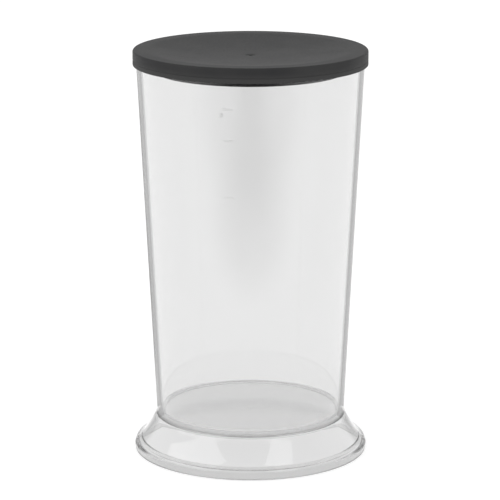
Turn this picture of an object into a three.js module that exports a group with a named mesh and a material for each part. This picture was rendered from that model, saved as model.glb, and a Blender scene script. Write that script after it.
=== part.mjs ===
// A tall mixing beaker for a hand blender, with its push-on lid. Millimetres, +Z up.
// The origin is the centre of the circle that the foot stands on.
//
// The beaker is one clear moulding: a wall that widens upwards, a floor, and below the floor
// a hollow skirt that flares out to a wide standing ring.
// The lid is one grey moulding: a gently dished plate, a skirt outside the beaker's rim and
// a stiffening ring under the plate. It is pushed straight down onto the rim and lifts off.
import * as THREE from "three";

const SEGMENTS = 48; // facets around each turned piece
const CURVE_STEPS = 4; // points along each rounded stretch of a profile
const CLEARANCE = 0.3; // gap between the lid and the beaker's wall, all round

const WALL = {
  baseRadius: 41.63, // outer radius of the wall's cone, carried down to z = 0
  taper: 0.0512, // radius gained per millimetre of height
  thickness: 2.25,
  rimZ: 181.2,
  rimRound: 0.8,
};

const FLOOR = {
  topZ: 18.5,
  thickness: 2.2,
  cornerRound: 1.6,
  gateRadius: 1.6, // the moulding's gate stands a little proud under the floor's centre
  gateDrop: 0.5,
};

const SKIRT = {
  topZ: 17.6, // where the skirt leaves the wall
  topRound: 1.0,
  hollow: 1.0, // how far the slope is drawn in from a straight line
  creaseRadius: 49.8, // the slope ends at a crease above the standing ring
  creaseZ: 5.2,
  thickness: 2.0,
};

const RING = {
  radius: 52.7,
  topZ: 2.4,
  thickness: 2.0,
  edgeRound: 0.4,
  ledgeZ: 3.2, // inside, the ring steps in to the skirt here
};

const LID = {
  topZ: 183.1,
  bottomZ: 176.4,
  radius: 52.25,
  plate: 1.6, // thickness of the top plate
  edgeRound: 0.9,
  lipRound: 0.25,
  grooveZ: 178.6, // a fine line runs round the side
  grooveWidth: 0.5,
  grooveDepth: 0.2,
  dishRadius: 45.5, // inside the flat border the plate sinks to its centre
  dishDepth: 2.8,
  dimpleRadius: 2.5, // the gate sits in a small round dimple
  dimpleDepth: 0.35,
  ringRadius: 42.0, // a stiffening ring hangs under the plate, inside the beaker
  ringBottomZ: 173.5,
  ringThickness: 1.4,
};

const beakerPlastic = new THREE.MeshStandardMaterial({
  color: "#e9ecee", roughness: 0.06, metalness: 0, transparent: true, opacity: 0.3,
});
const lidPlastic = new THREE.MeshStandardMaterial({ color: "#414244", roughness: 0.5, metalness: 0 });

const outerWall = (z) => WALL.baseRadius + WALL.taper * z;
const innerWall = (z) => outerWall(z) - WALL.thickness;

// Turns a profile of (radius, height) points about +Z into a closed body. Each profile runs from
// the top of the axis outwards and down to its foot, and the lathe takes its points in reverse.
function turned(name, profile, material) {
  const geometry = new THREE.LatheGeometry(profile.getPoints(CURVE_STEPS).reverse(), SEGMENTS);
  geometry.rotateX(Math.PI / 2);
  const mesh = new THREE.Mesh(geometry, material);
  mesh.name = name;
  return mesh;
}

// The floor's top, the inner wall and the rim, from the axis out to the outer wall.
function traceInside(profile) {
  const cornerZ = FLOOR.topZ + FLOOR.cornerRound;
  const shoulderZ = WALL.rimZ - WALL.rimRound;
  profile.moveTo(0, FLOOR.topZ);
  profile.lineTo(innerWall(FLOOR.topZ) - FLOOR.cornerRound, FLOOR.topZ);
  profile.quadraticCurveTo(innerWall(FLOOR.topZ), FLOOR.topZ, innerWall(cornerZ), cornerZ);
  profile.lineTo(innerWall(shoulderZ), shoulderZ);
  profile.quadraticCurveTo(innerWall(WALL.rimZ), WALL.rimZ, innerWall(WALL.rimZ) + WALL.rimRound, WALL.rimZ);
  profile.lineTo(outerWall(WALL.rimZ) - WALL.rimRound, WALL.rimZ);
  profile.quadraticCurveTo(outerWall(WALL.rimZ), WALL.rimZ, outerWall(shoulderZ), shoulderZ);
}

// The slope of the skirt, as a curve from its top to its crease, moved in by `inset`.
function skirtCurve(inset) {
  const top = new THREE.Vector2(outerWall(SKIRT.topZ), SKIRT.topZ);
  const crease = new THREE.Vector2(SKIRT.creaseRadius, SKIRT.creaseZ);
  const inward = new THREE.Vector2(crease.y - top.y, top.x - crease.x).normalize();
  const middle = top.clone().add(crease).multiplyScalar(0.5).addScaledVector(inward, SKIRT.hollow);
  return [top, middle, crease].map((point) => point.addScaledVector(inward, inset));
}

// The outside below the wall: the skirt's slope, the shoulder and the standing ring.
function traceSkirtOutside(profile) {
  const [top, middle, crease] = skirtCurve(0);
  const filletZ = SKIRT.topZ + SKIRT.topRound;
  const slope = middle.clone().sub(top).normalize().multiplyScalar(SKIRT.topRound).add(top);
  profile.lineTo(outerWall(filletZ), filletZ);
  profile.quadraticCurveTo(top.x, top.y, slope.x, slope.y);
  profile.quadraticCurveTo(middle.x, middle.y, crease.x, crease.y);
  profile.quadraticCurveTo(RING.radius, crease.y - 1, RING.radius, RING.topZ);
  profile.lineTo(RING.radius, RING.edgeRound);
  profile.quadraticCurveTo(RING.radius, 0, RING.radius - RING.edgeRound, 0);
}

// The underside: the ring's flat foot, its ledge, the skirt's inner slope and the floor's base.
function traceUnderside(profile) {
  const [top, middle, crease] = skirtCurve(SKIRT.thickness);
  const ringInner = RING.radius - RING.thickness;
  const baseZ = FLOOR.topZ - FLOOR.thickness;
  profile.lineTo(ringInner + RING.edgeRound, 0);
  profile.lineTo(ringInner, RING.edgeRound);
  profile.lineTo(ringInner, RING.ledgeZ);
  profile.lineTo(crease.x, RING.ledgeZ + RING.edgeRound);
  profile.quadraticCurveTo(middle.x, middle.y, top.x, top.y);
  profile.quadraticCurveTo(top.x - FLOOR.cornerRound, baseZ, top.x - 2 * FLOOR.cornerRound, baseZ);
  profile.lineTo(FLOOR.gateRadius, baseZ);
  profile.lineTo(FLOOR.gateRadius, baseZ - FLOOR.gateDrop);
  profile.lineTo(0, baseZ - FLOOR.gateDrop);
}

function makeBeaker() {
  const profile = new THREE.Path();
  traceInside(profile);
  traceSkirtOutside(profile);
  traceUnderside(profile);
  return turned("beaker", profile, beakerPlastic);
}

// Height of the dished plate's top surface at a radius inside the flat border.
const dishZ = (radius) => LID.topZ - LID.dishDepth * (1 - (radius / LID.dishRadius) ** 2);

// Follows the dish from one radius to another, lowered by `drop`.
function traceDish(profile, fromRadius, toRadius, drop) {
  const bend = LID.dishDepth / LID.dishRadius ** 2;
  const middleZ = LID.topZ - LID.dishDepth + bend * fromRadius * toRadius - drop;
  profile.lineTo(fromRadius, dishZ(fromRadius) - drop);
  profile.quadraticCurveTo((fromRadius + toRadius) / 2, middleZ, toRadius, dishZ(toRadius) - drop);
}

// The top: dimple, dish, flat border and rounded outer edge.
function traceLidTop(profile) {
  const dimpleZ = dishZ(0) - LID.dimpleDepth;
  profile.moveTo(0, dimpleZ);
  profile.lineTo(LID.dimpleRadius - LID.dimpleDepth, dimpleZ);
  traceDish(profile, LID.dimpleRadius, LID.dishRadius, 0);
  profile.lineTo(LID.radius - LID.edgeRound, LID.topZ);
  profile.quadraticCurveTo(LID.radius, LID.topZ, LID.radius, LID.topZ - LID.edgeRound);
}

// The side with its fine groove, and the lip at the bottom of the skirt.
function traceLidSide(profile) {
  const skirtInner = outerWall(WALL.rimZ) + CLEARANCE;
  profile.lineTo(LID.radius, LID.grooveZ + LID.grooveWidth / 2);
  profile.lineTo(LID.radius - LID.grooveDepth, LID.grooveZ);
  profile.lineTo(LID.radius, LID.grooveZ - LID.grooveWidth / 2);
  profile.lineTo(LID.radius, LID.bottomZ + LID.lipRound);
  profile.lineTo(LID.radius - LID.lipRound, LID.bottomZ);
  profile.lineTo(skirtInner + LID.lipRound, LID.bottomZ);
  profile.lineTo(skirtInner, LID.bottomZ + LID.lipRound);
  profile.lineTo(skirtInner, LID.topZ - LID.plate);
}

// The underside: the flat border over the rim, the stiffening ring and the bottom of the dish.
function traceLidUnderside(profile) {
  const ringInner = LID.ringRadius - LID.ringThickness;
  traceDish(profile, LID.dishRadius, LID.ringRadius, LID.plate);
  profile.lineTo(LID.ringRadius, LID.ringBottomZ + 0.4);
  profile.lineTo(LID.ringRadius - 0.4, LID.ringBottomZ);
  profile.lineTo(ringInner, LID.ringBottomZ);
  traceDish(profile, ringInner, 0, LID.plate);
}

function makeLid() {
  const profile = new THREE.Path();
  traceLidTop(profile);
  traceLidSide(profile);
  traceLidUnderside(profile);
  return turned("lid", profile, lidPlastic);
}

const mixingBeaker = new THREE.Group();
mixingBeaker.add(makeBeaker(), makeLid());

export default mixingBeaker;
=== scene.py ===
# %% [markdown]
# # A mixing beaker with its push-on lid
#
# The real object is two plastic mouldings. The beaker is one clear piece: a tall wall that
# widens upwards, a floor, and a hollow foot that flares out below it. The lid is one dark grey
# piece that is pushed down over the rim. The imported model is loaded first, as the fixed frame
# that every size comes from.

# %% Load the frame
import math

import bmesh
import bpy
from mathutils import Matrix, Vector


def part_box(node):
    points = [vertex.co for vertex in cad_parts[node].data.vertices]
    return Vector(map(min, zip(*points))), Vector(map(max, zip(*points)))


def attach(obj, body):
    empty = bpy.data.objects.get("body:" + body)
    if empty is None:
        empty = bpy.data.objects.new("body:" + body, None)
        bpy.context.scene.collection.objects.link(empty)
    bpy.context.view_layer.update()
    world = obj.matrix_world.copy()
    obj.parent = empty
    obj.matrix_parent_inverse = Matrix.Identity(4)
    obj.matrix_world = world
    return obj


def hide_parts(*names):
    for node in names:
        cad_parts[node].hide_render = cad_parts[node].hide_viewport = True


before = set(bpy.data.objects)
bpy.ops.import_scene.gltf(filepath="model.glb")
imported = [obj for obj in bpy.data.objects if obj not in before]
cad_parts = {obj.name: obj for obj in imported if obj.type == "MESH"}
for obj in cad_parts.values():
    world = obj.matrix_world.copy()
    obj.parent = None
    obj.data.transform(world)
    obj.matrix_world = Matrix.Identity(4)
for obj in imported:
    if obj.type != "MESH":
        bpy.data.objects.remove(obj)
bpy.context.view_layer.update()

beaker_low, beaker_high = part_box("beaker")
lid_low, lid_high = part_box("lid")

# %% [markdown]
# ## Working ring by ring
#
# Both mouldings are round, so each can be turned like a pot: draw half of the cross-section and
# spin it, or grow it from a circle by extruding the open edge and resizing it. The second way
# is used, because every step is one ring whose radius and height can be read, as a maker would
# read them off a drawing. Corners stay sharp at first and are rounded afterwards with Bevel.

# %% Units and roundness
MM = 0.001
SIDES = 192
TOUCH = 0.004 * MM  # two heights or radii closer than this are the same ring

# %% The first ring
def start_ring(name, radius, height):
    """Adds a flat disc and leaves its outer edge selected, ready to be extruded."""
    bpy.ops.object.select_all(action="DESELECT")
    bpy.ops.mesh.primitive_circle_add(vertices=SIDES, radius=radius, fill_type="NGON")
    piece = bpy.context.object
    piece.name = piece.data.name = name
    bpy.ops.object.mode_set(mode="EDIT")
    bpy.ops.mesh.select_all(action="SELECT")
    bpy.ops.transform.translate(value=(0, 0, height))
    bpy.ops.mesh.region_to_loop()
    return piece, (radius, height)


# %% Every next ring
def next_ring(at, radius, height):
    """Extrudes the selected ring, lifts it to the new height and resizes it about the axis."""
    step = (0, 0, height - at[1])
    grow = radius / at[0]
    bpy.ops.mesh.extrude_region_move(TRANSFORM_OT_translate={"value": step})
    bpy.ops.transform.resize(value=(grow, grow, 1), center_override=(0, 0, height))
    return radius, height


# %% Closing and finding rings
def close_ring(at, height):
    """Fills the selected ring with a flat face, so the body is closed."""
    bpy.ops.mesh.edge_face_add()
    bpy.ops.mesh.select_all(action="SELECT")
    bpy.ops.mesh.remove_doubles(threshold=TOUCH)
    bpy.ops.mesh.normals_make_consistent(inside=False)


def pick_ring(piece, radius, height):
    """Selects the edges that lie on the ring of this radius and height, and nothing else."""
    mesh = bmesh.from_edit_mesh(piece.data)
    bpy.ops.mesh.select_all(action="DESELECT")
    on_ring = set()
    for vert in mesh.verts:
        if abs(vert.co.z - height) < TOUCH and abs(vert.co.xy.length - radius) < TOUCH:
            on_ring.add(vert)
    for edge in mesh.edges:
        if edge.verts[0] in on_ring and edge.verts[1] in on_ring:
            edge.select_set(True)
    bmesh.update_edit_mesh(piece.data)
    return len(on_ring)


def round_ring(piece, corner, size, steps):
    """Rounds the sharp ring at this (radius, height) with a bevel of the given size."""
    found = pick_ring(piece, *corner)
    piece.update_from_editmode()
    before = len(piece.data.vertices)
    bpy.ops.mesh.bevel(offset=size, segments=steps, affect="EDGES")
    piece.update_from_editmode()
    added = (len(piece.data.vertices) - before) // SIDES
    place = [round(value / MM, 2) for value in corner]
    print(piece.name, "ring at", place, "has", found, "points and gained", added, "rings")


# %% [markdown]
# ## The beaker's sizes
#
# The moulding keeps nearly one thickness everywhere, as injection mouldings do, so it cools
# evenly. The wall is a cone: its radius at any height is one straight-line formula. The skirt
# below is slightly hollow in profile, so it is a curve through three points.

# %% Beaker sizes
WALL_BASE = 41.63 * MM  # outer radius of the wall's cone, carried down to the table
WALL_TAPER = 0.0512
WALL = 2.25 * MM
FLOOR_TOP = 18.5 * MM
FLOOR = 2.2 * MM
SKIRT_TOP = 17.6 * MM
SKIRT = 2.0 * MM
SKIRT_HOLLOW = 1.0 * MM
CREASE = (49.8 * MM, 5.2 * MM)
RING_INNER = beaker_high.x - 2.0 * MM
RING_SHOULDER = 4.0 * MM
LEDGE = 3.2 * MM
GATE = 1.6 * MM
GATE_DROP = 0.5 * MM


def outer_wall(height):
    return WALL_BASE + WALL_TAPER * height


def inner_wall(height):
    return outer_wall(height) - WALL


def skirt_point(share, inset):
    """A point of the skirt's slope, from its top (0) to its crease (1), moved in by `inset`."""
    top = Vector((outer_wall(SKIRT_TOP), SKIRT_TOP))
    crease = Vector(CREASE)
    inward = Vector((crease.y - top.y, top.x - crease.x)).normalized()
    middle = (top + crease) / 2 + inward * SKIRT_HOLLOW
    curve = top * (1 - share) ** 2 + middle * 2 * share * (1 - share) + crease * share**2
    return tuple(curve + inward * inset)


# %% [markdown]
# ## Turning the beaker
#
# The rings start at the gate, the small nub under the floor where the plastic flowed in. They
# run out under the floor, down inside the skirt, round the standing ring, up the outside to the
# rim, and back down the inside to the floor.

# %% The beaker's body
SLOPE_STEPS = 8
floor_base = FLOOR_TOP - FLOOR
rim = beaker_high.z
slope_shares = [step / SLOPE_STEPS for step in range(SLOPE_STEPS + 1)]

beaker, at = start_ring("clear_beaker", GATE, floor_base - GATE_DROP)
at = next_ring(at, GATE, floor_base)
under_corner = (skirt_point(0, SKIRT)[0] - 0.6 * MM, floor_base)
at = next_ring(at, *under_corner)
for share in slope_shares[1:]:
    at = next_ring(at, *skirt_point(share, SKIRT))
inner_crease = at
at = next_ring(at, RING_INNER, LEDGE)
at = next_ring(at, RING_INNER, 0)
at = next_ring(at, beaker_high.x, 0)
at = next_ring(at, beaker_high.x, RING_SHOULDER)
for share in reversed(slope_shares):
    at = next_ring(at, *skirt_point(share, 0))
at = next_ring(at, outer_wall(rim), rim)
at = next_ring(at, inner_wall(rim), rim)
at = next_ring(at, inner_wall(FLOOR_TOP), FLOOR_TOP)
at = next_ring(at, GATE, FLOOR_TOP)
close_ring(at, FLOOR_TOP)

# %% Rounding the beaker's corners
round_ring(beaker, (inner_wall(FLOOR_TOP), FLOOR_TOP), 1.6 * MM, 8)
round_ring(beaker, (inner_wall(rim), rim), 0.9 * MM, 6)
round_ring(beaker, (outer_wall(rim), rim), 0.9 * MM, 6)
round_ring(beaker, skirt_point(0, 0), 1.2 * MM, 6)
round_ring(beaker, skirt_point(1, 0), 0.35 * MM, 3)
round_ring(beaker, (beaker_high.x, RING_SHOULDER), 1.9 * MM, 8)
round_ring(beaker, (beaker_high.x, 0), 0.4 * MM, 4)
round_ring(beaker, (RING_INNER, 0), 0.4 * MM, 4)
round_ring(beaker, (RING_INNER, LEDGE), 0.4 * MM, 3)
round_ring(beaker, inner_crease, 0.5 * MM, 3)
round_ring(beaker, under_corner, 1.0 * MM, 5)
round_ring(beaker, (GATE, floor_base), 0.2 * MM, 2)
round_ring(beaker, (GATE, floor_base - GATE_DROP), 0.2 * MM, 2)


# %% [markdown]
# ## Smooth shading that keeps flat faces flat
#
# Smooth shading blends the direction of neighbouring faces, which would make the flat floor
# look domed next to its rounded corner. The Weighted Normal modifier gives the large faces the
# say, so floor, wall and border stay true and only the roundings shade softly.

# %% Finish a turned piece
def finish_turned(piece):
    bpy.ops.mesh.select_all(action="SELECT")
    bpy.ops.mesh.normals_make_consistent(inside=False)
    bpy.ops.object.mode_set(mode="OBJECT")
    bpy.ops.object.shade_smooth()
    bpy.ops.object.modifier_add(type="WEIGHTED_NORMAL")
    modifier = piece.modifiers[-1]
    modifier.mode = "FACE_AREA"
    modifier.weight = 80
    bpy.ops.object.modifier_apply(modifier=modifier.name)
    triangles = sum(len(face.vertices) - 2 for face in piece.data.polygons)
    print(piece.name, "has", triangles, "triangles")


finish_turned(beaker)

# %% [markdown]
# ## The lid's sizes
#
# The lid is one wall thickness throughout too. Its plate is dished, so it stays stiff and a
# little proud border can carry whatever is set on it. The skirt grips outside the rim, and a
# ring under the plate stiffens it. The ring shows as a dark sliver through the wall in front.

# %% Lid sizes
LID_RADIUS = lid_high.x
LID_TOP = lid_high.z
LID_BOTTOM = 176.4 * MM
PLATE = 1.6 * MM
DISH_RADIUS = 45.5 * MM
DISH_DEPTH = 2.8 * MM
DIMPLE = 2.5 * MM
DIMPLE_DEPTH = 0.35 * MM
DIMPLE_SLOPE = 0.5 * MM
NIB = 0.7 * MM  # the snapped-off gate in the middle of the dimple
GROOVE_HEIGHT = 178.6 * MM
GROOVE = 0.35 * MM
FIT = 0.3 * MM
RIB_RADIUS = 42.0 * MM  # the stiffening ring under the plate
RIB = 1.4 * MM
RIB_ROOM = 1 * MM  # room for the rounding at its root
RIB_BOTTOM = lid_low.z


def dish(radius):
    """Height of the plate's top at a radius inside its flat border."""
    return LID_TOP - DISH_DEPTH * (1 - (radius / DISH_RADIUS) ** 2)


# %% The lid's body
DISH_STEPS = 10
DISH_STEP = (DISH_RADIUS - DIMPLE) / DISH_STEPS
dish_radii = [DIMPLE + DISH_STEP * step for step in range(DISH_STEPS + 1)]
skirt_inner = outer_wall(rim) + FIT
border_under = LID_TOP - PLATE
rib_inner = RIB_RADIUS - RIB
rib_root, rib_inner_root = dish(RIB_RADIUS) - PLATE, dish(rib_inner) - PLATE

lid, at = start_ring("grey_lid", NIB, dish(0))
at = next_ring(at, NIB, dish(0) - DIMPLE_DEPTH)
at = next_ring(at, DIMPLE - DIMPLE_SLOPE, dish(0) - DIMPLE_DEPTH)
for radius in dish_radii:
    at = next_ring(at, radius, dish(radius))
at = next_ring(at, LID_RADIUS, LID_TOP)
at = next_ring(at, LID_RADIUS, GROOVE_HEIGHT + GROOVE)
at = next_ring(at, LID_RADIUS - GROOVE, GROOVE_HEIGHT)
at = next_ring(at, LID_RADIUS, GROOVE_HEIGHT - GROOVE)
at = next_ring(at, LID_RADIUS, LID_BOTTOM)
at = next_ring(at, skirt_inner, LID_BOTTOM)
at = next_ring(at, skirt_inner, border_under)
at = next_ring(at, DISH_RADIUS, border_under)
at = next_ring(at, RIB_RADIUS, rib_root)
at = next_ring(at, RIB_RADIUS, RIB_BOTTOM)
at = next_ring(at, rib_inner, RIB_BOTTOM)
at = next_ring(at, rib_inner, rib_inner_root)
for radius in reversed(dish_radii):
    if radius < rib_inner - RIB_ROOM:
        at = next_ring(at, radius, dish(radius) - PLATE)
close_ring(at, at[1])

# %% Rounding the lid's corners
round_ring(lid, (LID_RADIUS, LID_TOP), 0.9 * MM, 8)
round_ring(lid, (DISH_RADIUS, LID_TOP), 1.2 * MM, 4)
round_ring(lid, (LID_RADIUS, GROOVE_HEIGHT + GROOVE), 0.12 * MM, 2)
round_ring(lid, (LID_RADIUS, GROOVE_HEIGHT - GROOVE), 0.12 * MM, 2)
round_ring(lid, (LID_RADIUS, LID_BOTTOM), 0.3 * MM, 4)
round_ring(lid, (skirt_inner, LID_BOTTOM), 0.25 * MM, 3)
round_ring(lid, (RIB_RADIUS, RIB_BOTTOM), 0.4 * MM, 4)
round_ring(lid, (rib_inner, RIB_BOTTOM), 0.3 * MM, 3)
round_ring(lid, (RIB_RADIUS, rib_root), 0.5 * MM, 3)
round_ring(lid, (rib_inner, rib_inner_root), 0.5 * MM, 3)
finish_turned(lid)


# %% [markdown]
# ## The volume scale
#
# The scale is cut into the mould, so it stands a hair proud of the wall in the same clear
# plastic and shows only where its edges bend the light. Three of its lines and one numeral can
# be made out, so those are the ones made here. Each line is a small bevelled block, and the
# numeral is a text made a mesh. Both lean with the wall. The cone's formula gives the volume
# of the cavity below each line.

# %% Volume scale sizes
MARK_HEIGHTS = (164.9 * MM, 151.1 * MM, 126.0 * MM)
MARK_TURN = math.radians(-11.3)  # the lines stand a little left of the front
TICK_LENGTH = 4.2 * MM
TICK_HEIGHT = 0.6 * MM
TICK_EDGE = 0.05 * MM
NUMERAL = "9"
NUMERAL_TURN = math.radians(-14.6)
NUMERAL_DROP = 3.4 * MM  # the numeral sits below the top line
NUMERAL_SIZE = 4.2 * MM
PROUD = 0.12 * MM
SUNK = 0.15 * MM
WELD = 0.001 * MM


def volume_below(height):
    """Volume of the cavity from the floor up to a height."""
    foot, top = inner_wall(FLOOR_TOP), inner_wall(height)
    return math.pi * (top**3 - foot**3) / (3 * WALL_TAPER)


def lay_on_wall(piece, turn, height):
    """Moves a flat piece onto the outside of the wall, leaning with it."""
    radius = outer_wall(height) + (PROUD - SUNK) / 2
    piece.location = (radius * math.sin(turn), -radius * math.cos(turn), height)
    piece.rotation_euler = (math.pi / 2 + math.atan(WALL_TAPER), 0, turn)
    bpy.ops.object.transform_apply(location=True, rotation=True, scale=True)


# %% The lines and the numeral
scale_pieces = []
for height in MARK_HEIGHTS:
    bpy.ops.object.select_all(action="DESELECT")
    bpy.ops.mesh.primitive_cube_add(size=1)
    tick = bpy.context.object
    tick.scale = (TICK_LENGTH, TICK_HEIGHT, PROUD + SUNK)
    bpy.ops.object.transform_apply(location=False, rotation=False, scale=True)
    bpy.ops.object.mode_set(mode="EDIT")
    bpy.ops.mesh.select_all(action="SELECT")
    bpy.ops.mesh.bevel(offset=TICK_EDGE, segments=2)
    bpy.ops.object.mode_set(mode="OBJECT")
    lay_on_wall(tick, MARK_TURN, height)
    scale_pieces.append(tick)
    print(f"line at {height / MM:.1f} mm, cavity below it {volume_below(height) * 1e6:.0f} ml")

bpy.ops.object.select_all(action="DESELECT")
bpy.ops.object.text_add()
numeral = bpy.context.object
numeral.data.body = NUMERAL
numeral.data.size = NUMERAL_SIZE
numeral.data.extrude = (PROUD + SUNK) / 2
numeral.data.resolution_u = 4
numeral.data.align_x = "CENTER"
numeral.data.align_y = "CENTER"
bpy.ops.object.convert(target="MESH")
numeral = bpy.context.object
lay_on_wall(numeral, NUMERAL_TURN, MARK_HEIGHTS[0] - NUMERAL_DROP)
scale_pieces.append(numeral)

bpy.ops.object.select_all(action="DESELECT")
for piece in scale_pieces:
    piece.select_set(True)
volume_scale = scale_pieces[0]
bpy.context.view_layer.objects.active = volume_scale
bpy.ops.object.join()
volume_scale.name = "volume_scale"
bpy.ops.object.mode_set(mode="EDIT")
bpy.ops.mesh.select_all(action="SELECT")
bpy.ops.mesh.remove_doubles(threshold=WELD)
bpy.ops.mesh.normals_make_consistent(inside=False)
bpy.ops.object.mode_set(mode="OBJECT")
bpy.ops.object.shade_smooth_by_angle(angle=math.radians(30))
print("volume_scale:", len(volume_scale.data.polygons), "faces")

# %% [markdown]
# ## Clear plastic
#
# Clear styrene plastic bends light a little more than window glass, and it shows where light
# grazes a wall or is caught in a thick corner, so the shape does most of the work. The base
# colour tints what passes, so each wall keeps about six sevenths of the light. A weak volume
# absorption greys the thick places a little more. What moulding and use leave behind are faint
# flow waves, a matt underside to the floor and a scuffed standing ring. Towards the standing
# ring the tint is darker, which is painted shade where the foot meets the floor.

# %% Node helpers
def new_material(name):
    material = bpy.data.materials.new(name)
    material.use_nodes = True
    nodes, links = material.node_tree.nodes, material.node_tree.links
    return material, nodes, links, nodes["Principled BSDF"]


def noise(nodes, links, place, scale, detail):
    """A noise pattern in metres on the piece itself."""
    texture = nodes.new("ShaderNodeTexNoise")
    texture.inputs["Scale"].default_value = scale
    texture.inputs["Detail"].default_value = detail
    links.new(place.outputs["Object"], texture.inputs["Vector"])
    return texture.outputs["Fac"]


def spread(nodes, links, source, low, high, start=0.35, end=0.65):
    """Spreads a noise pattern over the range from low to high."""
    stage = nodes.new("ShaderNodeMapRange")
    stage.inputs["From Min"].default_value = start
    stage.inputs["From Max"].default_value = end
    stage.inputs["To Min"].default_value = low
    stage.inputs["To Max"].default_value = high
    links.new(source, stage.inputs["Value"])
    return stage.outputs["Result"]


def calc(nodes, links, operation, *sources):
    """A Math node whose inputs are plugs or plain numbers."""
    node = nodes.new("ShaderNodeMath")
    node.operation = operation
    for plug, source in zip(node.inputs, sources):
        if isinstance(source, (int, float)):
            plug.default_value = source
        else:
            links.new(source, plug)
    return node.outputs["Value"]


def axes(nodes, links, place):
    """The X, Y and Z of a place on the piece, and its distance from the axis."""
    split = nodes.new("ShaderNodeSeparateXYZ")
    links.new(place.outputs["Object"], split.inputs["Vector"])
    x, y, z = (split.outputs[axis] for axis in "XYZ")
    square = calc(nodes, links, "MULTIPLY", x, x)
    radius = calc(nodes, links, "SQRT", calc(nodes, links, "MULTIPLY_ADD", y, y, square))
    return x, y, z, radius


def smooth_step(nodes, links, source, start, end):
    """Nothing below the start, one above the end, and a smooth change between them."""
    stage = nodes.new("ShaderNodeMapRange")
    stage.interpolation_type = "SMOOTHSTEP"
    stage.inputs["From Min"].default_value = start
    stage.inputs["From Max"].default_value = end
    links.new(source, stage.inputs["Value"])
    return stage.outputs["Result"]


# %% The clear plastic
TINT = 0.855  # the share of the light that is left after each wall
SCALE_TINT = 0.99  # the scale is too thin to take much
RING_SHADE_TINT = 0.66  # painted shade: the tint near the standing ring is darker
RING_SHADE_HEIGHT = 5 * MM  # up to this height the tint is darkened as painted shade
ABSORPTION = 4  # how strongly thick places grey the light, per metre
BENDING = 1.57  # the index of refraction
FROST = 0.12  # the underside of the floor is left matt by the mould
FROST_DEPTH = 0.7 * MM
SCUFF = 0.35  # the standing ring is rubbed by use
SCUFF_HEIGHT = 0.2 * MM


def clear_plastic(name, tint):
    material, nodes, links, shader = new_material(name)
    place = nodes.new("ShaderNodeTexCoord")
    shader.inputs["Base Color"].default_value = (tint, tint, tint, 1)
    shader.inputs["Transmission Weight"].default_value = 1
    shader.inputs["IOR"].default_value = BENDING
    z, radius = axes(nodes, links, place)[2:]
    polish = spread(nodes, links, noise(nodes, links, place, 45, 3), 0.0, 0.03)
    underside = calc(nodes, links, "COMPARE", z, floor_base, FROST_DEPTH)
    inside = calc(nodes, links, "LESS_THAN", radius, under_corner[0])
    below_floor = calc(nodes, links, "MULTIPLY", underside, inside)
    matt = calc(nodes, links, "MULTIPLY", below_floor, FROST)
    standing = calc(nodes, links, "LESS_THAN", z, SCUFF_HEIGHT)
    scuffed = calc(nodes, links, "MULTIPLY", standing, SCUFF)
    rough = calc(nodes, links, "MAXIMUM", polish, calc(nodes, links, "MAXIMUM", matt, scuffed))
    links.new(rough, shader.inputs["Roughness"])
    waves = noise(nodes, links, place, 18, 1)
    bump = nodes.new("ShaderNodeBump")
    bump.inputs["Strength"].default_value = 0.04
    bump.inputs["Distance"].default_value = 0.001
    links.new(waves, bump.inputs["Height"])
    links.new(bump.outputs["Normal"], shader.inputs["Normal"])
    depth = nodes.new("ShaderNodeVolumeAbsorption")
    depth.inputs["Color"].default_value = (0, 0, 0, 1)
    depth.inputs["Density"].default_value = ABSORPTION
    links.new(depth.outputs["Volume"], nodes["Material Output"].inputs["Volume"])
    return material


def paint_ring_shade(material):
    """Darkens the plastic's tint towards the standing ring, as painted shade where the foot
    meets the floor.
    """
    nodes, links = material.node_tree.nodes, material.node_tree.links
    z = axes(nodes, links, nodes.new("ShaderNodeTexCoord"))[2]
    # Painted shade: the tint is fully darkened below half the height and fades out above it.
    ring_shade = smooth_step(nodes, links, z, RING_SHADE_HEIGHT, RING_SHADE_HEIGHT / 2)
    tint = calc(nodes, links, "MULTIPLY_ADD", ring_shade, RING_SHADE_TINT - TINT, TINT)
    links.new(tint, nodes["Principled BSDF"].inputs["Base Color"])


# %% The lid's plastic
PAINTED_LIGHT_TONE = 0.044  # painted light: the lower part of the side is painted lighter, standing in for light from the pale floor below


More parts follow.
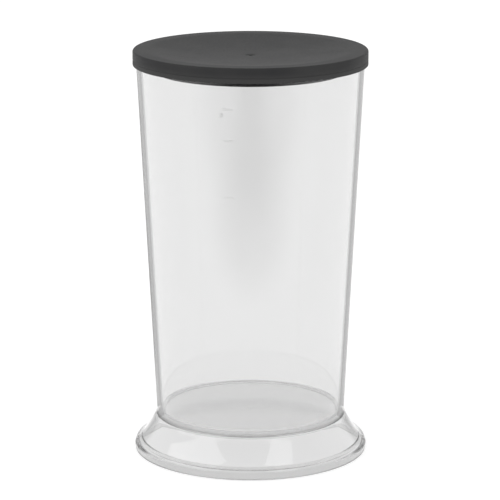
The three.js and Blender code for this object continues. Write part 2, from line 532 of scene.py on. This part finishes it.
def grey_plastic():
    material, nodes, links, shader = new_material("grey_textured_plastic")
    place = nodes.new("ShaderNodeTexCoord")
    cloud = noise(nodes, links, place, 60, 4)
    shade = nodes.new("ShaderNodeValToRGB")
    shade.color_ramp.elements[0].position = 0.3
    shade.color_ramp.elements[0].color = (0.026, 0.026, 0.027, 1)
    shade.color_ramp.elements[1].position = 0.7
    shade.color_ramp.elements[1].color = (0.036, 0.036, 0.036, 1)
    links.new(cloud, shade.inputs["Fac"])
    z, radius = axes(nodes, links, place)[2:]
    # Painted light: the lower part of the side is mixed towards a lighter grey, as the pale
    # floor below would light it.
    low_down = smooth_step(nodes, links, z, LID_TOP - 2 * MM, LID_BOTTOM + 1 * MM)
    on_side = calc(nodes, links, "GREATER_THAN", radius, LID_RADIUS - 0.6 * MM)
    painted_light = nodes.new("ShaderNodeMix")
    painted_light.data_type = "RGBA"
    links.new(calc(nodes, links, "MULTIPLY", low_down, on_side), painted_light.inputs["Factor"])
    colour_a, colour_b = (plug for plug in painted_light.inputs if plug.type == "RGBA")
    links.new(shade.outputs["Color"], colour_a)
    colour_b.default_value = (PAINTED_LIGHT_TONE, PAINTED_LIGHT_TONE, PAINTED_LIGHT_TONE, 1)
    mixed = next(plug for plug in painted_light.outputs if plug.type == "RGBA")
    links.new(mixed, shader.inputs["Base Color"])
    shader.inputs["Specular IOR Level"].default_value = 0.12
    grain = noise(nodes, links, place, 2600, 2)
    links.new(spread(nodes, links, grain, 0.50, 0.66), shader.inputs["Roughness"])
    bump = nodes.new("ShaderNodeBump")
    bump.inputs["Strength"].default_value = 0.25
    bump.inputs["Distance"].default_value = 0.00006
    links.new(grain, bump.inputs["Height"])
    links.new(bump.outputs["Normal"], shader.inputs["Normal"])
    return material


styrene = clear_plastic("clear_styrene", TINT)
paint_ring_shade(styrene)
beaker.data.materials.append(styrene)
volume_scale.data.materials.append(clear_plastic("clear_scale", SCALE_TINT))
lid.data.materials.append(grey_plastic())

# %% Place the pieces on their bodies
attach(beaker, "beaker")
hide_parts("beaker")
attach(volume_scale, "beaker")
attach(lid, "lid")
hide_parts("lid")

# %% [markdown]
# ## Floor, light and camera
#
# Clear plastic shows what surrounds it, so its looks are made by the studio. The object stands
# on a pale floor that glows a little, as the top of a light table does, so it throws hardly any
# shadow. A dark sheet lies on the floor in front, out of the camera's sight: it is painted
# shade, standing in for the darker camera side of the room. The wall mirrors the sheet faintly,
# which makes the middle of the beaker greyer than its sides.

# %% The floor
GLOW = 0.74
FLOOR_TONE = 0.36
FLOOR_RADIUS = 6
FLOOR_GAP = 0.2 * MM  # the floor lies a hair below the foot
DIM = 0.9
DIM_START, DIM_FULL = 0.26, 0.50  # how far in front of the beaker the sheet darkens
DIM_HALF, DIM_END = 0.10, 0.75  # and how far to each side
SHEET_LENGTH = 4


def floor_paint(name):
    """A pale paint that glows a little."""
    material, nodes, links, shader = new_material(name)
    shader.inputs["Base Color"].default_value = (FLOOR_TONE, FLOOR_TONE, FLOOR_TONE, 1)
    shader.inputs["Emission Color"].default_value = (1, 1, 1, 1)
    shader.inputs["Emission Strength"].default_value = GLOW
    shader.inputs["Roughness"].default_value = 0.9
    shader.inputs["Specular IOR Level"].default_value = 0
    return material, nodes, links, shader


bpy.ops.object.select_all(action="DESELECT")
bpy.ops.mesh.primitive_circle_add(
    vertices=128, radius=FLOOR_RADIUS, fill_type="NGON", location=(0, 0, -FLOOR_GAP)
)
floor = bpy.context.object
floor.name = "studio_floor"
floor.data.materials.append(floor_paint("studio_floor_paint")[0])

# %% The dark sheet of painted shade
shade_sheet_paint, nodes, links, shader = floor_paint("studio_sheet_paint")
x, y = axes(nodes, links, nodes.new("ShaderNodeTexCoord"))[:2]
# Painted shade: the sheet's glow and tone darken in front of the beaker and fade out to the
# sides.
ahead = smooth_step(nodes, links, calc(nodes, links, "MULTIPLY", y, -1), DIM_START, DIM_FULL)
aside = smooth_step(nodes, links, calc(nodes, links, "ABSOLUTE", x), DIM_END, DIM_HALF)
dim = calc(nodes, links, "MULTIPLY", ahead, aside)
glow = calc(nodes, links, "MULTIPLY_ADD", dim, -GLOW * DIM, GLOW)
tone = calc(nodes, links, "MULTIPLY_ADD", dim, -FLOOR_TONE * DIM, FLOOR_TONE)
links.new(glow, shader.inputs["Emission Strength"])
links.new(tone, shader.inputs["Base Color"])

bpy.ops.object.select_all(action="DESELECT")
bpy.ops.mesh.primitive_plane_add(size=1)
sheet = bpy.context.object
sheet.name = "studio_sheet"
sheet.scale = (2 * DIM_END, SHEET_LENGTH, 1)
sheet.location = (0, -DIM_START - SHEET_LENGTH / 2, -FLOOR_GAP / 2)
bpy.ops.object.transform_apply(location=True, rotation=True, scale=True)
sheet.data.materials.append(shade_sheet_paint)
sheet.visible_camera = sheet.visible_shadow = sheet.visible_diffuse = False

# %% [markdown]
# ## Grey cards that draw the edges
#
# A photographer stands narrow cards close beside clear glass. The light at the very edge of the
# wall is bent sideways, so it comes from the card and the edge is drawn as a thin grey line.
# Here a card stands at each side and leans with the wall, and shorter ones follow the foot. A
# card is grey in front and white behind, so from the back the beaker looks clear. The camera
# doesn't see the cards themselves, and they cast no shadow.

# %% The cards
CARD_GAP = 0.3 * MM
CARD_WIDTH = 8.5 * MM
CARD_DEPTH = 0.5 * MM
CARD_TONE = 0.56
CARD_BACK_TONE = 1.0


def card_paper(name, tone):
    material, nodes, links, shader = new_material(name)
    shader.inputs["Base Color"].default_value = (0, 0, 0, 1)
    shader.inputs["Specular IOR Level"].default_value = 0
    shader.inputs["Emission Color"].default_value = (1, 1, 1, 1)
    shader.inputs["Emission Strength"].default_value = tone
    return material


grey_paper = card_paper("studio_card_front", CARD_TONE)
white_paper = card_paper("studio_card_back", CARD_BACK_TONE)


def edge_card(name, side, low, high):
    """A card beside the wall, between two (radius, height) points of the edge it follows."""
    span = Vector((high[0] - low[0], 0, high[1] - low[1]))
    middle = (low[1] + high[1]) / 2
    out = (low[0] + high[0]) / 2 + CARD_GAP + CARD_WIDTH / 2
    for face, depth, paper in (("_front", 0, grey_paper), ("_back", CARD_DEPTH, white_paper)):
        bpy.ops.mesh.primitive_plane_add(size=1, location=(side * out, depth, middle))
        card = bpy.context.object
        card.name = name + face
        card.scale = (CARD_WIDTH, span.length, 1)
        card.rotation_euler = (math.radians(90), side * math.atan2(span.x, span.z), 0)
        card.data.materials.append(paper)
        card.visible_camera = card.visible_shadow = card.visible_diffuse = False


wall_foot = (outer_wall(SKIRT_TOP), SKIRT_TOP)
wall_head = (outer_wall(LID_BOTTOM), LID_BOTTOM)
for side, word in ((-1, "left"), (1, "right")):
    edge_card("studio_card_" + word, side, wall_foot, wall_head)
    edge_card("studio_skirt_card_" + word, side, CREASE, wall_foot)
    edge_card("studio_ring_card_" + word, side, (beaker_high.x, 0), (beaker_high.x, CREASE[1]))

# %% The room
FRONT_LIGHT = 0.85
BACK_LIGHT = 1.0
world = bpy.data.worlds.new("studio")
bpy.context.scene.world = world
world.use_nodes = True
nodes, links = world.node_tree.nodes, world.node_tree.links
place = nodes.new("ShaderNodeTexCoord")
split = nodes.new("ShaderNodeSeparateXYZ")
links.new(place.outputs["Generated"], split.inputs["Vector"])
room = spread(nodes, links, split.outputs["Y"], FRONT_LIGHT, BACK_LIGHT, -1, 1)
links.new(room, nodes["Background"].inputs["Strength"])
nodes["Background"].inputs["Color"].default_value = (1, 1, 1, 1)


# %% The softboxes
def softbox(name, turn, rise, distance, width, height, power):
    """A rectangular lamp that faces the beaker, turned from the camera's side and raised."""
    turn, rise = math.radians(turn), math.radians(rise)
    level = distance * math.cos(rise)
    place = Vector((level * math.sin(turn), -level * math.cos(turn), distance * math.sin(rise)))
    bpy.ops.object.light_add(type="AREA", location=place)
    lamp = bpy.context.object
    lamp.name = name
    lamp.rotation_euler = (-place).to_track_quat("-Z", "Y").to_euler()
    lamp.data.shape = "RECTANGLE"
    lamp.data.size, lamp.data.size_y = width, height
    lamp.data.energy = power
    return lamp


softbox("softbox_left", -75, 42, 1.6, 1.6, 0.9, 4.0)
softbox("softbox_right", 39, 44, 1.6, 0.65, 0.75, 1.4)

BOUNCES = 24  # light crosses many surfaces of clear plastic
scene = bpy.context.scene
scene.view_settings.view_transform = "Standard"
scene.cycles.max_bounces = BOUNCES
scene.cycles.glossy_bounces = BOUNCES
scene.cycles.transmission_bounces = BOUNCES

# %% The camera
CAMERA_BACK = 1.1607
CAMERA_UP = 0.3718
CAMERA_DOWN = 13.577  # degrees
LENS = 190.8
bpy.ops.object.select_all(action="DESELECT")
bpy.ops.object.camera_add(
    location=(0, -CAMERA_BACK, CAMERA_UP), rotation=(math.radians(90 - CAMERA_DOWN), 0, 0)
)
camera = bpy.context.object
camera.data.sensor_width = 36
camera.data.lens = LENS
camera.data.shift_x = -0.001
scene.camera = camera
